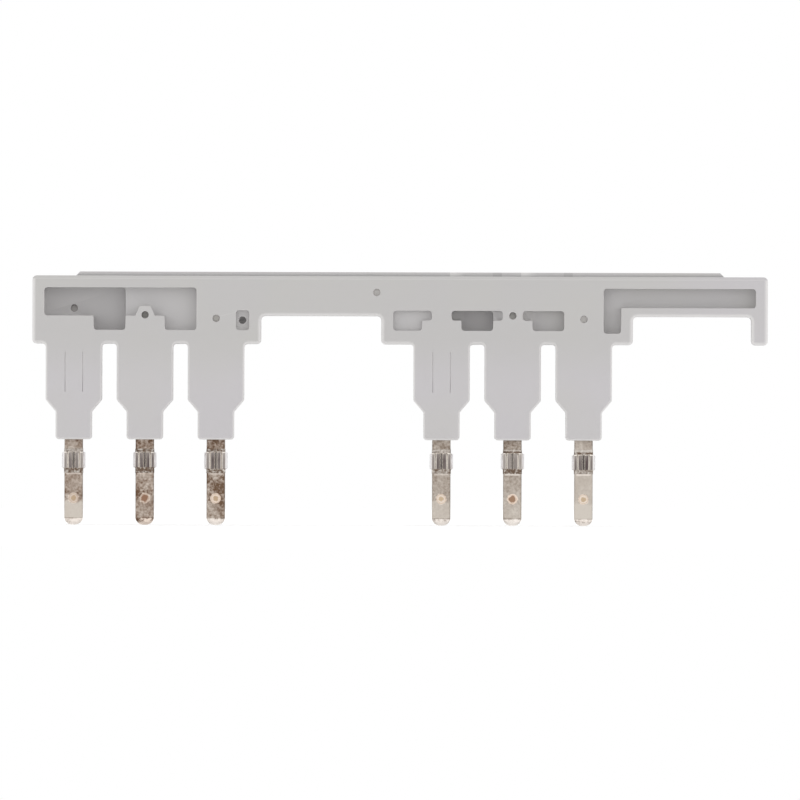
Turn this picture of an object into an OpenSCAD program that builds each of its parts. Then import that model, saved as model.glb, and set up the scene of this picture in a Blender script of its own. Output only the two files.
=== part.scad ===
// Parallel link for two contactors that stand side by side: a moulded insulating bar with
// three copper link bars inside, each joining one pole of the left contactor to the same pole
// of the right one. The six pins point down, the pocketed front face looks along -Y, and the
// origin is the middle of the row of pins, level with the ends of the legs.

/* [Contactors] */
// Width of one contactor, which is also the distance between the two groups of poles
contactor_w = 45; // [44:0.5:54]
// Distance between the poles of one contactor
pole_pitch = 8.7; // [8.4:0.1:9.4]
// Left end of the bar to the first pole
first_pole = 5.1; // [4.7:0.1:6]

/* [Copper strip] */
// Width of the strip that the link bars are stamped from
strip_w = 2.25; // [1.8:0.05:2.4]
// Thickness of the strip
strip_t = 1; // [0.8:0.05:1.2]
// Height of the upper bend of each joggle above the underside of the blocks
joggle_z = 2.85; // [2.6:0.05:3]
// Height that a joggle takes to bring its strip into the plane of the pins
joggle_h = 3.3; // [2.8:0.1:3.8]

/* [Insulation] */
// Plastic over the strips at the front, at the rear and at the sides of the necks
cover = 1.1; // [0.9:0.05:1.3]
// Plastic above the strips
top_cover = 0.85; // [0.7:0.05:1.1]
// Plastic between two layers of strip
layer_gap = 0.8; // [0.6:0.05:1.1]

/* [Bar] */
// Height of the bar over its two gaps
bar_h = 4.9; // [4.6:0.1:6]
// How far the blocks over the legs hang below the bar
block_drop = 3.45; // [3.2:0.05:4.2]
// Last pole of the left group to the end of the left block
left_block_end = 5.5; // [5:0.1:6.5]
// First pole of the right group to the start of the right block
right_block_start = 7.4; // [6.6:0.1:8.4]
// Last pole of the right group to the end of the right block
right_block_end = 6; // [5.4:0.1:7]
// Width of the hook at the right end
hook_w = 2; // [1.6:0.1:3]
// Corner radius of the bar's outline
bar_corner_r = 0.5; // [0.3:0.05:0.6]
// Rounding of the bar's front edges
bar_edge_r = 0.45; // [0.2:0.05:0.6]
// Rounding of the rear edges of the bar and legs
rear_edge_r = 0.25; // [0.1:0.05:0.4]
// Height of the ledge along the rear above the top of the bar
ledge_h = 0.5; // [0.2:0.05:0.8]
// Thickness of the ledge, from front to rear
ledge_t = 2.4; // [1:0.1:4]
// Each end of the bar to the ledge
ledge_inset = 5.8; // [4:0.1:8]

/* [Legs] */
// Width of a leg
leg_w = 6.9; // [6:0.1:7.4]
// Length of the straight part of a leg, below the blocks
leg_len = 6.85; // [5:0.05:9]
// Length of the taper from the leg to its neck
taper_len = 1.45; // [1:0.05:2.5]
// Length of the neck
neck_len = 3.4; // [3:0.1:5]
// Corner radius of a leg's outline
leg_corner_r = 0.4; // [0.2:0.05:0.6]
// Rounding of a leg's front edges
leg_edge_r = 0.25; // [0.1:0.05:0.4]
// Width of the fine-lined panel on the front of the first leg of each group
panel_w = 2.15; // [1.6:0.05:3]
// Length of that panel
panel_len = 4.9; // [3:0.1:6]
// Width and depth of its two scribed lines
panel_line = 0.08; // [0.06:0.01:0.16]

/* [Pockets] */
// Plastic between a pocket and a strip beside it
pocket_wall = 1.28; // [1:0.02:1.5]
// Plastic between a pocket and the end of the bar or of a block
end_wall = 1.45; // [1.2:0.05:2]
// Plastic between the upper pockets and the top of the bar
pocket_roof = 1.45; // [1:0.05:1.7]
// Plastic below the pockets
pocket_sill = 1.7; // [1.2:0.05:2]
// Height of the arm's pocket
arm_pocket_h = 2.35; // [1.8:0.05:2.5]
// Plastic below the short leg of the arm's pocket
arm_pocket_sill = 1.4; // [1.1:0.05:2]
// Top of the small pockets under the strips, above the underside of the blocks
small_pocket_top = 4.15; // [4:0.05:4.4]
// Height of their shelves beside the joggles, above the underside of the blocks
shelf_z = 2.95; // [2.8:0.05:3.2]
// Shelf edge to the strip beside it
shelf_edge = 0.075; // [0.05:0.005:0.3]
// Depth of the deep pocket between the first two poles of the right block
right_pocket_depth = 3.1; // [2:0.1:3.6]
// Depth of the shallowest pockets
shallow_depth = 0.9; // [0.6:0.05:1.3]
// Corner radius of the pockets
pocket_r = 0.4; // [0.1:0.05:0.5]

/* [Support holes] */
// Diameter of the holes left by the pins that hold the strips in the mould
support_d = 0.9; // [0.6:0.05:1.1]
// Height of the hole over the rear layer above the underside of the blocks
rear_support_z = 4.35; // [3.6:0.05:5]
// Height of the holes over the middle layer above the underside of the blocks
middle_support_z = 3.55; // [3.2:0.05:4.2]
// Height of the holes over the front layer above the underside of the blocks
front_support_z = 3.15; // [2:0.05:4]
// Width of the foot of the tapered boss round the hole in the left pocket
boss_foot_w = 2.45; // [2:0.05:2.8]
// Width of that boss at its top
boss_top_w = 1.4; // [1.2:0.05:1.8]
// Middle of the hole to the top of the boss
boss_top = 1.1; // [0.8:0.05:1.3]
// Start of the right block to the hole over the front strip, to its left
run_support_x = 0.55; // [0.5:0.05:3]
// Depth of the gate mark in the left block's last pocket, below that pocket's floor
gate_depth = 1.5; // [0.5:0.1:2.5]

/* [Pins] */
// Length of the pins below the legs
pin_len = 10.45; // [9:0.05:13]
// Chamfer along the pins' edges
pin_edge = 0.18; // [0.1:0.02:0.3]
// Corner radius of the pins' tips
tip_r = 0.95; // [0.5:0.05:1]
// How far the folded-back layer reaches up into the neck
fold_in = 2.4; // [1.5:0.1:2.8]
// Width of the seam between the two folded layers
seam_w = 0.12; // [0.06:0.01:0.2]
// Distance of the clinch dimple below the leg
dimple_z = 7.2; // [6:0.1:8]
// Diameter of the dimple at the surface
dimple_d = 1.3; // [1:0.05:1.4]
// Diameter of the dimple's floor
dimple_floor_d = 0.9; // [0.6:0.05:0.95]
// Depth of the dimple
dimple_depth = 0.2; // [0.15:0.05:0.5]

/* [Contact sleeves] */
// Distance of the sleeve below the leg
sleeve_z = 1.24; // [1:0.02:2]
// Length of the sleeve
sleeve_len = 2.76; // [2.4:0.02:3.4]
// Height of the collars at its two ends
collar_h = 0.4; // [0.25:0.01:0.5]
// Thickness of the sheet that the sleeve is formed from
foil_t = 0.14; // [0.1:0.01:0.18]
// Depth of the pin's waist, in which the sleeve sits
waist_depth = 0.12; // [0.08:0.01:0.16]
// Play between the sleeve's ends and the ends of the waist
sleeve_play = 0.1; // [0.05:0.01:0.2]
// Clearance between the collars and the waist
sleeve_clearance = 0.02; // [0.01:0.01:0.04]
// How far the slats stand out past the collars
slat_bow = 0.25; // [0.15:0.01:0.35]
// Height of the bends that lead from the collars out to the slats
bend_h = 0.12; // [0.08:0.01:0.25]
// Width of the slots between the slats
slot_w = 0.08; // [0.06:0.01:0.1]
// Middle of a wide side to its inner slots
inner_slot_x = 0.14; // [0.12:0.01:0.25]
// Middle of a wide side to its outer slots
outer_slot_x = 0.7; // [0.5:0.01:0.75]
// Middle of a narrow side to its slots
side_slot_y = 0.27; // [0.15:0.01:0.4]
// Width of the open joint at the back of the sleeve
joint_w = 0.12; // [0.08:0.01:0.16]

/* [Hidden] */

$fn = 48;
POLES = 3;
GROUPS = 2;
// How far a cut runs past the face that it starts from
OVER = 1;
// How far a fillet reaches into the walls that it joins
FIT = 0.05;
// Facets of a rounded edge, and of a rounded corner
EDGE_STEPS = 3;
CORNER_STEPS = 3;
EDGE_ANGLES = [for (k = [0 : EDGE_STEPS]) 90 * k / EDGE_STEPS];
// Least radius of a corner where the rounding of an edge eats it up
SMALLEST_R = 0.06;
// Flat that stays across the round end of a folded tip
TIP_FLAT = 0.012;

layer_pitch = strip_t + layer_gap;
leg_d = 2 * strip_t + 2 * cover;
bar_d = POLES * strip_t + (POLES - 1) * layer_gap + 2 * cover;
front_y = -strip_t - cover;
rear_y = front_y + bar_d;

neck_w = strip_w + 2 * cover;
block_z = neck_len + taper_len + leg_len;
arm_z = block_z + block_drop;
top_z = arm_z + bar_h;
run_top_z = top_z - top_cover;

bar_x0 = pole_x(0, 0) - first_pole;
bar_x1 = bar_x0 + GROUPS * contactor_w;
left_block_x1 = pole_x(0, POLES - 1) + left_block_end;
right_block_x0 = pole_x(1, 0) - right_block_start;
right_block_x1 = pole_x(1, POLES - 1) + right_block_end;
hook_x0 = bar_x1 - hook_w;

strip_room = strip_w / 2 + pocket_wall;
shelf_room = strip_w / 2 + shelf_edge;
sill_z = block_z + pocket_sill;
roof_z = top_z - pocket_roof;
small_top_z = block_z + small_pocket_top;
support_heights = [rear_support_z, middle_support_z, front_support_z];

// Place along the bar of a pole, counted from 0 in each group
function pole_x(group, pole) = (group - 0.5) * contactor_w + (pole - 1) * pole_pitch;

// How far behind the pins' own layer a pole's strip runs: pole 1 at the rear, pole 3 in front
function layer_y(pole) = (POLES - 1 - pole) * layer_pitch;

// Depth of a pocket floor that leaves the cover's thickness over a pole's strip
function floor_over(pole) = layer_y(pole);

// Inward normal of the edge from a to b of an outline that runs anticlockwise
function edge_normal(a, b) = let (d = (b - a) / norm(b - a)) [-d.y, d.x];

function normal_before(pts, i) = edge_normal(pts[(i + len(pts) - 1) % len(pts)], pts[i]);
function normal_after(pts, i) = edge_normal(pts[i], pts[(i + 1) % len(pts)]);

// Step from a corner to the same corner of the outline drawn one unit further in
function corner_step(pts, i) =
    let (n1 = normal_before(pts, i), n2 = normal_after(pts, i)) (n1 + n2) / (1 + n1 * n2);

function inset(pts, e) = [for (i = [0 : len(pts) - 1]) pts[i] + e * corner_step(pts, i)];

// Points of the arc that rounds one corner, with its own radius for an outer and an inner corner
function corner_arc(pts, i, outer_r, inner_r) =
    let (
        n1 = normal_before(pts, i),
        n2 = normal_after(pts, i),
        side = n1.x * n2.y - n1.y * n2.x > 0 ? 1 : -1,
        r = side > 0 ? outer_r : inner_r,
        centre = pts[i] + side * r * corner_step(pts, i)
    )
    [for (k = [0 : CORNER_STEPS])
        let (n = n1 * (1 - k / CORNER_STEPS) + n2 * k / CORNER_STEPS) centre - side * r * n / norm(n)];

// An outline drawn e further in, with its corners rounded as a parallel of the full outline's
function ring(pts, r, e) =
    let (inner = inset(pts, e))
    [for (i = [0 : len(inner) - 1]) each corner_arc(inner, i, max(r - e, SMALLEST_R), r + e)];

// How far in a front edge of rounding r lies at the given depth behind the front face
function edge_inset(depth, r) =
    lookup(depth, [for (a = EDGE_ANGLES) [r * (1 - cos(a)), r * (1 - sin(a))]]);

// A solid through outlines in x and z, one for each of ys, which run from the front to the rear.
// Its flat ends fan out from hub, a point that sees the whole outline.
module loft(ys, outlines, hub) {
    n = len(outlines[0]);
    last = (len(ys) - 1) * n;
    front_hub = len(ys) * n;
    points = [
        for (j = [0 : len(ys) - 1]) for (p = outlines[j]) [p.x, ys[j], p.y],
        [hub.x, ys[0], hub.y],
        [hub.x, ys[len(ys) - 1], hub.y]
    ];
    sides = [
        for (j = [0 : len(ys) - 2]) for (i = [0 : n - 1])
        let (a = j * n + i, b = j * n + (i + 1) % n)
        each [[a, b, b + n], [a, b + n, a + n]]
    ];
    front = [for (i = [0 : n - 1]) [(i + 1) % n, i, front_hub]];
    rear = [for (i = [0 : n - 1]) [last + i, last + (i + 1) % n, front_hub + 1]];
    polyhedron(points, concat(sides, front, rear), convexity = 10);
}

// A block with the outline pts, from y0 to y1, whose front and rear edges are rounded
module rounded_block(pts, hub, corner_r, y0, y1, front_r, rear_r) {
    levels = [
        for (a = EDGE_ANGLES) [y0 + front_r * (1 - cos(a)), front_r * (1 - sin(a))],
        for (a = EDGE_ANGLES) [y1 - rear_r * (1 - sin(a)), rear_r * (1 - cos(a))]
    ];
    loft([for (level = levels) level[0]], [for (level = levels) ring(pts, corner_r, level[1])], hub);
}

// A rectangle between two corners, with round corners of radius r
module round_rect(x0, z0, x1, z1, r) {
    translate([x0 + r, z0])
        square([x1 - x0 - 2 * r, z1 - z0]);
    translate([x0, z0 + r])
        square([x1 - x0, z1 - z0 - 2 * r]);
    for (x = [x0 + r, x1 - r], z = [z0 + r, z1 - r])
        translate([x, z])
            circle(r);
}

// Extrudes an outline in x and z from the given y towards the front
module forward(y, length) {
    translate([0, y, 0])
        rotate([90, 0, 0])
            linear_extrude(length)
                children();
}

// Extrudes an outline in y and z along x, both ways from the middle
module sideways(width) {
    rotate([90, 0, 90])
        linear_extrude(width, center = true)
            children();
}

module from_front(depth) {
    forward(front_y + depth, depth + OVER)
        children();
}

module pocket(x0, z0, x1, z1, depth) {
    from_front(depth)
        round_rect(x0, z0, x1, z1, pocket_r);
}

// Section of a pin, drawn e further in
function pin_section(e) =
    let (x = strip_w / 2, y = strip_t, c = pin_edge)
    inset([
        [x - c, -y], [x, -y + c], [x, y - c], [x - c, y],
        [-x + c, y], [-x, y - c], [-x, -y + c], [-x + c, -y]
    ], e);

module pin_prism(e, z0, z1) {
    translate([0, 0, z0])
        linear_extrude(z1 - z0)
            polygon(pin_section(e));
}

// The strip from its run down to the top of the folded pin, joggled forward from its own layer
module strip_leg(pole) {
    y = layer_y(pole);
    bend_z = block_z + joggle_z;
    foot_z = bend_z - joggle_h;
    lead = strip_t / 2 * tan(atan(y / joggle_h) / 2);
    sideways(strip_w)
        polygon([
            [y - strip_t, run_top_z], [y - strip_t, bend_z + lead], [-strip_t, foot_z + lead],
            [-strip_t, 0], [0, 0],
            [0, foot_z - lead], [y, bend_z - lead], [y, run_top_z]
        ]);
}

// One link bar's strip as it lies in the moulding, with plain pins
module link_strip(pole) {
    x0 = pole_x(0, pole) - strip_w / 2;
    x1 = pole_x(1, pole) + strip_w / 2;
    translate([x0, layer_y(pole) - strip_t, run_top_z - strip_w])
        cube([x1 - x0, strip_t, strip_w]);
    for (group = [0 : GROUPS - 1])
        translate([pole_x(group, pole), 0, 0]) {
            strip_leg(pole);
            pin_prism(0, -pin_len, fold_in);
        }
}

// Everything of a pin's blank that its rounded, folded tip leaves out
module tip_waste() {
    reach = strip_w + 2 * strip_t;
    corner = min(tip_r, (strip_w - TIP_FLAT) / 2);
    difference() {
        translate([-reach, -reach, -pin_len - OVER])
            cube([2 * reach, 2 * reach, OVER + max(corner, strip_t)]);
        intersection() {
            forward(reach, 2 * reach)
                round_rect(-strip_w / 2, -pin_len, strip_w / 2, 0, corner);
            sideways(2 * reach)
                round_rect(-strip_t, -pin_len, strip_t, 0, strip_t - TIP_FLAT / 2);
        }
    }
}

module waist_waste() {
    z1 = -sleeve_z + sleeve_play;
    z0 = -sleeve_z - sleeve_len - sleeve_play;
    difference() {
        pin_prism(-OVER, z0, z1);
        pin_prism(waist_depth, z0 - OVER, z1 + OVER);
    }
}

module dimple_waste() {
    translate([0, -strip_t, -dimple_z])
        rotate([90, 0, 0])
            translate([0, 0, -dimple_depth])
                cylinder(h = dimple_depth, d1 = dimple_floor_d, d2 = dimple_d);
}

// The seam where the folded layers meet, down both sides of the pin as far as the fold
module seam_waste() {
    side = seam_w / sqrt(2);
    length = pin_len - strip_t;
    for (x = [-strip_w / 2, strip_w / 2])
        translate([x, 0, -length])
            rotate([0, 0, 45])
                translate([-side / 2, -side / 2, 0])
                    cube([side, side, length]);
}

module link_bar(pole) {
    color("#b5a899")
        difference() {
            link_strip(pole);
            for (group = [0 : GROUPS - 1])
                translate([pole_x(group, pole), 0, 0]) {
                    tip_waste();
                    waist_waste();
                    dimple_waste();
                    seam_waste();
                }
        }
}

// One surface of a sleeve: two collars, and between them a barrel that stands out by slat_bow.
// Its bends lie the given fold further from the collars, and its ends run past them by over.
module sleeve_surface(collar_inset, fold, over) {
    foot = -sleeve_z - sleeve_len + collar_h;
    head = -sleeve_z - collar_h;
    barrel_inset = collar_inset - slat_bow;
    levels = [
        [foot - collar_h - over, collar_inset],
        [foot + fold, collar_inset],
        [foot + fold + bend_h, barrel_inset],
        [head - fold - bend_h, barrel_inset],
        [head - fold, collar_inset],
        [head + collar_h + over, collar_inset]
    ];
    rotate([90, 0, 0])
        loft([for (level = levels) level[0]], [for (level = levels) pin_section(level[1])], [0, 0]);
}

// Slots at the given places across the front of a sleeve, from collar to collar
module slots(places) {
    reach = strip_w + strip_t;
    for (x = places)
        translate([x - slot_w / 2, -reach, -sleeve_z - sleeve_len + collar_h])
            cube([slot_w, reach, sleeve_len - 2 * collar_h]);
}

// A sheet sleeve closed round the waist of a pin, slotted into slats between its two collars
module contact_sleeve(group, pole) {
    inner = waist_depth - sleeve_clearance;
    // How far the sheet's thickness shifts the inside of a bend
    fold = foil_t * (norm([slat_bow, bend_h]) - bend_h) / slat_bow;
    outer_slots = [-outer_slot_x, outer_slot_x];
    inner_slots = [-inner_slot_x, inner_slot_x];
    color("#8f898a")
        translate([pole_x(group, pole), 0, 0])
            difference() {
                sleeve_surface(inner - foil_t, 0, 0);
                sleeve_surface(inner, fold, OVER);
                slots(concat(outer_slots, inner_slots));
                rotate([0, 0, 180])
                    slots(outer_slots);
                for (turn = [-90, 90])
                    rotate([0, 0, turn])
                        slots([-side_slot_y, side_slot_y]);
                translate([-joint_w / 2, 0, -sleeve_z - sleeve_len - OVER])
                    cube([joint_w, strip_w + strip_t, sleeve_len + 2 * OVER]);
            }
}

// One upright rectangle of the bar, between two corners
module bar_block(x0, z0, x1, z1) {
    rounded_block(
        [[x0, z0], [x1, z0], [x1, z1], [x0, z1]], [(x0 + x1) / 2, (z0 + z1) / 2],
        bar_corner_r, front_y, rear_y, bar_edge_r, rear_edge_r
    );
}

// Outline of the fillet in the corner at x and z, which opens downwards and to the given side, where
// the wall lies wall_in and the ceiling ceiling_in further in. It reaches back into both.
function fillet_outline(x, z, side, r, wall_in, ceiling_in, reach) =
    let (
        centre = [x + side * r, z - r],
        arc = [
            for (k = [0 : CORNER_STEPS])
            let (t = 90 * k / CORNER_STEPS)
            centre + [-side * (r + wall_in) * cos(t), (r + ceiling_in) * sin(t)]
        ],
        back = [[centre.x, z + reach], [x - side * reach, z + reach], [x - side * reach, centre.y]],
        outline = concat(arc, back),
        last = len(outline) - 1
    )
    [for (i = [0 : last]) outline[side > 0 ? i : last - i]];

// Rounds the inner corner between a wall at x and a ceiling at z, and follows the roundings of their
// edges: the ceiling's front edge is the bar's, and its rear edge has the rounding ceiling_rear_r.
module inner_fillet(x, z, side, r, depth, wall_edge_r, ceiling_rear_r) {
    reach = max(bar_edge_r, rear_edge_r, wall_edge_r) + FIT;
    hub_reach = reach - FIT / 2;
    levels = [
        for (a = EDGE_ANGLES)
        let (d = bar_edge_r * (1 - cos(a)))
        [d, edge_inset(d, wall_edge_r), bar_edge_r * (1 - sin(a))],
        for (a = EDGE_ANGLES)
        [depth - rear_edge_r * (1 - sin(a)), rear_edge_r * (1 - cos(a)), ceiling_rear_r * (1 - cos(a))]
    ];
    loft(
        [for (level = levels) front_y + level[0]],
        [for (level = levels) fillet_outline(x, z, side, r, level[1], level[2], reach)],
        [x - side * hub_reach, z + hub_reach]
    );
}

module bar_blank() {
    bar_block(bar_x0, arm_z, bar_x1, top_z);
    bar_block(bar_x0, block_z, left_block_x1, top_z);
    bar_block(right_block_x0, block_z, right_block_x1, top_z);
    bar_block(hook_x0, block_z, bar_x1, top_z);
    for (x = [left_block_x1, right_block_x1])
        inner_fillet(x, arm_z, 1, bar_corner_r, bar_d, bar_edge_r, rear_edge_r);
    for (x = [right_block_x0, hook_x0])
        inner_fillet(x, arm_z, -1, bar_corner_r, bar_d, bar_edge_r, rear_edge_r);
}

module leg_blank() {
    root = block_z + bar_edge_r + leg_corner_r;
    shoulder = neck_len + taper_len;
    outline = [
        [neck_w / 2, 0], [neck_w / 2, neck_len], [leg_w / 2, shoulder], [leg_w / 2, root],
        [-leg_w / 2, root], [-leg_w / 2, shoulder], [-neck_w / 2, neck_len], [-neck_w / 2, 0]
    ];
    rounded_block(
        outline, [0, shoulder],
        leg_corner_r, front_y, front_y + leg_d, leg_edge_r, rear_edge_r
    );
    for (side = [-1, 1])
        inner_fillet(side * leg_w / 2, block_z, side, leg_corner_r, leg_d, leg_edge_r, 0);
}

// The low ledge with slanted ends along the top of the rear face
module ledge() {
    x0 = bar_x0 + ledge_inset;
    x1 = bar_x1 - ledge_inset;
    root = top_z - rear_edge_r - ledge_h;
    slant = top_z + ledge_h - root;
    forward(rear_y - rear_edge_r, ledge_t - rear_edge_r)
        polygon([[x0 - slant, root], [x1 + slant, root], [x1, top_z + ledge_h], [x0, top_z + ledge_h]]);
}

// The wide pocket over the first two poles, deeper where only the rear strip lies behind it
module left_pocket() {
    first = pole_x(0, 0);
    second = pole_x(0, 1);
    third = pole_x(0, 2);
    step_x = second - strip_room;
    foot_z = arm_z - FIT;
    boss_z = block_z + middle_support_z + boss_top;
    difference() {
        union() {
            pocket(bar_x0 + end_wall, arm_z, step_x + 2 * pocket_r, roof_z, floor_over(1));
            pocket(bar_x0 + end_wall, arm_z, step_x, roof_z, floor_over(0));
            pocket(first + strip_room, sill_z, step_x, roof_z, floor_over(0));
            pocket(step_x - 2 * pocket_r, arm_z, third - strip_room, roof_z, floor_over(1));
            pocket(second + strip_room, sill_z, third - strip_room, roof_z, floor_over(1));
        }
        from_front(floor_over(1))
            polygon([
                [second - boss_foot_w / 2, foot_z], [second + boss_foot_w / 2, foot_z],
                [second + boss_top_w / 2, boss_z], [second - boss_top_w / 2, boss_z]
            ]);
    }
}

// The small pockets under the strips of the right block, with shelves beside the joggles
module right_pockets() {
    first = pole_x(1, 0);
    second = pole_x(1, 1);
    third = pole_x(1, 2);
    shelf = block_z + shelf_z;
    start = right_block_x0 + end_wall;
    pocket(start, sill_z, first - strip_room, small_top_z, shallow_depth);
    pocket(start, shelf, first - shelf_room, small_top_z, shallow_depth);
    pocket(first + strip_room, sill_z, second - strip_room, small_top_z, right_pocket_depth);
    pocket(first + shelf_room, shelf, second - strip_room, small_top_z, right_pocket_depth);
    pocket(first + shelf_room, shelf, second - shelf_room, small_top_z, shallow_depth);
    pocket(second + strip_room, sill_z, third - strip_room, small_top_z, floor_over(1));
    pocket(second + shelf_room, shelf, third - strip_room, small_top_z, floor_over(1));
}

// The long pocket that lightens the arm, with a short leg beside the last pole
module arm_pocket() {
    start = pole_x(1, 2) + strip_room;
    pocket(start, roof_z - arm_pocket_h, bar_x1 - end_wall, roof_z, floor_over(1));
    pocket(start, block_z + arm_pocket_sill, right_block_x1 - end_wall, roof_z, floor_over(1));
}

// The pocket at the end of the left block, with the mark of the moulding gate in its floor
module gate_pocket() {
    x0 = pole_x(0, 2) + strip_room;
    x1 = left_block_x1 - end_wall;
    pocket(x0, sill_z, x1, small_top_z, shallow_depth);
    from_front(shallow_depth + gate_depth)
        translate([(x0 + x1) / 2, (sill_z + small_top_z) / 2])
            circle(d = support_d);
}

module support_hole(x, z, pole) {
    from_front(cover + layer_y(pole) + FIT)
        translate([x, z])
            circle(d = support_d);
}

module support_holes() {
    for (pole = [0 : POLES - 1])
        support_hole(pole_x(0, pole), block_z + support_heights[pole], pole);
    for (pole = [1 : POLES - 1])
        support_hole(pole_x(1, pole), block_z + support_heights[pole], pole);
    support_hole(right_block_x0 - run_support_x, run_top_z - strip_w / 2, POLES - 1);
}

module panel_lines() {
    z0 = neck_len + taper_len + (leg_len - panel_len) / 2;
    for (group = [0 : GROUPS - 1], side = [-1, 1])
        from_front(panel_line)
            translate([pole_x(group, 0) + side * panel_w / 2 - panel_line / 2, z0])
                square([panel_line, panel_len]);
}

module moulded_housing() {
    color("#c4c2bf")
        difference() {
            union() {
                bar_blank();
                ledge();
                for (group = [0 : GROUPS - 1], pole = [0 : POLES - 1])
                    translate([pole_x(group, pole), 0, 0])
                        leg_blank();
            }
            left_pocket();
            right_pockets();
            arm_pocket();
            gate_pocket();
            support_holes();
            panel_lines();
            for (pole = [0 : POLES - 1])
                link_strip(pole);
        }
}

moulded_housing();
link_bar(0);  // link_bar_1
link_bar(1);  // link_bar_2
link_bar(2);  // link_bar_3
contact_sleeve(0, 0);  // contact_sleeve_1
contact_sleeve(0, 1);  // contact_sleeve_2
contact_sleeve(0, 2);  // contact_sleeve_3
contact_sleeve(1, 0);  // contact_sleeve_4
contact_sleeve(1, 1);  // contact_sleeve_5
contact_sleeve(1, 2);  // contact_sleeve_6
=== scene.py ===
"""A parallel link that joins the like poles of two contactors: three tin-plated copper bars in a
slim moulded housing, with a sprung contact sleeve on each of the six pins."""

import math

import bmesh
import bpy
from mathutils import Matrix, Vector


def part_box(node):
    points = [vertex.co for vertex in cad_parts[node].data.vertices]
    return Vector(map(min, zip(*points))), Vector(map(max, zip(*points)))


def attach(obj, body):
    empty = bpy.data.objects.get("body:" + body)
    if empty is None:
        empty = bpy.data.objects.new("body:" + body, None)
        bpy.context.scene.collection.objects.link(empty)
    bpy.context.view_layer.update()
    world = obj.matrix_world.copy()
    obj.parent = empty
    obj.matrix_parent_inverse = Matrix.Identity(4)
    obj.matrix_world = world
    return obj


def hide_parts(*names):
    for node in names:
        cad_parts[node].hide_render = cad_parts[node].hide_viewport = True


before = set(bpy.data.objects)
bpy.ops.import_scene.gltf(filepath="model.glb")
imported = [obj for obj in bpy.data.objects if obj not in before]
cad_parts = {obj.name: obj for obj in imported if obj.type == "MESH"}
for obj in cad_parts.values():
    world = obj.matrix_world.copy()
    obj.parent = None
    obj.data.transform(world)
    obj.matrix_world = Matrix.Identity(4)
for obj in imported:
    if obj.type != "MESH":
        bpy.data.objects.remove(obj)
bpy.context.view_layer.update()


# Link bars
# Three strips of half-hard copper, stamped, joggled and folded back on themselves to make the two
# pins of each pole, clinched by a round punch and tin-plated. Handling and many insertions have
# left brown tarnish in patches, most of it on the left-hand pins.

MM = 0.001
POLES = 3
PINS = 2 * POLES
SLEEVE_NODES = [f"contact_sleeve_{n + 1}" for n in range(PINS)]
PIN_X = [sum(corner.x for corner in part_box(name)) / 2 for name in SLEEVE_NODES]
TIP_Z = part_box("link_bar_1")[0].z
LEG_END_Z = 0
PIN_THICKNESS = 2 * MM
FOLD_Z = TIP_Z + PIN_THICKNESS / 2
WAIST_Z = -2.62 * MM
WAIST_LENGTH = 2.96 * MM
STAMPED_EDGE_R = 0.05 * MM
STAMPED_EDGE_ANGLE = math.radians(40)
EDGE_SEGMENTS = 2
FOLD_MARGIN = 0.001 * MM
WAIST_MARGIN = 0.01 * MM
MERGE_DISTANCE = 0.0005 * MM
FLAT_ANGLE = math.radians(0.5)
SHARP_ANGLE = math.radians(50)

# Brown film on each pin: its cover above the sleeve, below it, further down and on the tip; where the
# further stretch starts, in mm below the leg; how red the film is
PIN_FILM = [
    (0.54, 0.51, 0.07, 0.18, 7.85, 0.75),
    (0.75, 0.58, 0.57, 0.55, 7.0, 0.80),
    (0.80, 0.85, 0.64, 0.18, 7.9, 0.65),
    (0.54, 0.42, 0.17, 0.21, 7.3, 0.30),
    (0.64, 0.40, 0.30, 0.15, 6.0, 0.25),
    (0.37, 0.18, 0.02, 0.36, 7.6, 0.30),
]
# Marks on each pin: how strong the painted highlight on its shoulder is, how bright its dimple's rim
# is, and how dark the dimple's floor is
PIN_MARKS = [
    (0.55, 0.60, 0.35),
    (0.35, 0.75, 0.80),
    (0.50, 0.85, 0.35),
    (0.40, 0.75, 0.20),
    (0.65, 1.00, 0.70),
    (0.65, 0.75, 0.25),
]

# The film lies in grains, gathered in patches, and its cover changes along the pin. A pair of places
# is where a change starts and where it ends.
FILM_GRAIN = 0.35 * MM
FILM_PATCH = 1.6 * MM
PATCH_SHARE = 0.35
UNDER_SLEEVE_Z = (-2 * MM, -3 * MM)
BARE_WAIST = 2.6 * MM
GATHERING_Z = (-5.7 * MM, -6.4 * MM)
RAGGED_LINE = 1.6 * MM
RAGGED_LINE_BLUR = 0.2 * MM
BLUR = 0.05 * MM
# Painted shade along the side edges of each pin
SIDE_EDGE_X = (0.9 * MM, 1.05 * MM)
SIDE_EDGE_SHADE = 0.04
# The shoulder under the sleeve carries a painted highlight
SHOULDER_Z = -4.2 * MM
SHOULDER_LINE = 0.2 * MM
SHOULDER_END_X = (1 * MM, 0.8 * MM)
SHOULDER_HIGHLIGHT = 0.85
# The tip is worn bright and also carries a painted highlight
RUBBED_HIGHLIT_TIP_Z = TIP_Z + 0.8 * MM
TIP_FADING_Z = (RUBBED_HIGHLIT_TIP_Z - 0.1 * MM, TIP_Z + 0.2 * MM)
# A darker line runs across the pin just above the worn tip
TIP_LINE_Z = RUBBED_HIGHLIT_TIP_Z + 0.03 * MM
TIP_LINE = 0.1 * MM
TIP_LINE_DARKENING = 0.3

# The clinch dimple's rim and floor have ragged outlines, and a darker floor is a wider one
DIMPLE_Z = -7.2 * MM
DIMPLE_R = 0.65 * MM
DIMPLE_FLOOR_R = 0.45 * MM
RIM_RAGGED = 0.45 * MM
RIM_EDGE_R = (DIMPLE_R + 0.27 * MM, DIMPLE_R + 0.16 * MM)
FLOOR_RAGGED = 0.5 * MM
FLOOR_EDGE_R = (DIMPLE_FLOOR_R + 0.12 * MM, DIMPLE_FLOOR_R - 0.02 * MM)
FLOOR_WIDENING = 0.24 * MM
FAR = 100

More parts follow.
